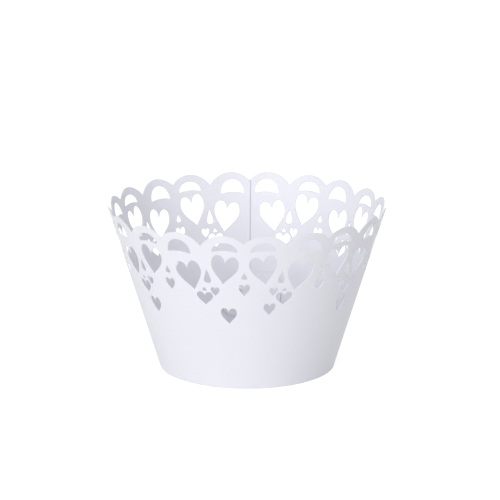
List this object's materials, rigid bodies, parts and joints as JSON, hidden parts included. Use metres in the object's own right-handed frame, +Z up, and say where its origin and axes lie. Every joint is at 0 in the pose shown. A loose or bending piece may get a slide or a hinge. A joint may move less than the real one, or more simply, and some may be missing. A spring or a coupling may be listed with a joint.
{
  "type": "cupcake wrapper",
  "caption": "Tapered sleeve of thin white card, open at both ends, with a scalloped rim over a pierced lace of hearts, closed at the back by a tongue through a slit.",
  "frame": {"origin": "centre of the sleeve's lower edge, in the plane that it stands on", "axes": "+Z up along the cone's axis, -Y towards the side that the picture shows, +Y towards the seam"},
  "size_m": [0.0814, 0.0814, 0.0492],
  "materials": {
    "card": "smooth white card, matte with a faint sheen"
  },
  "bodies": {
    "root": {"wrapper": "card"}
  },
  "joints": []
}
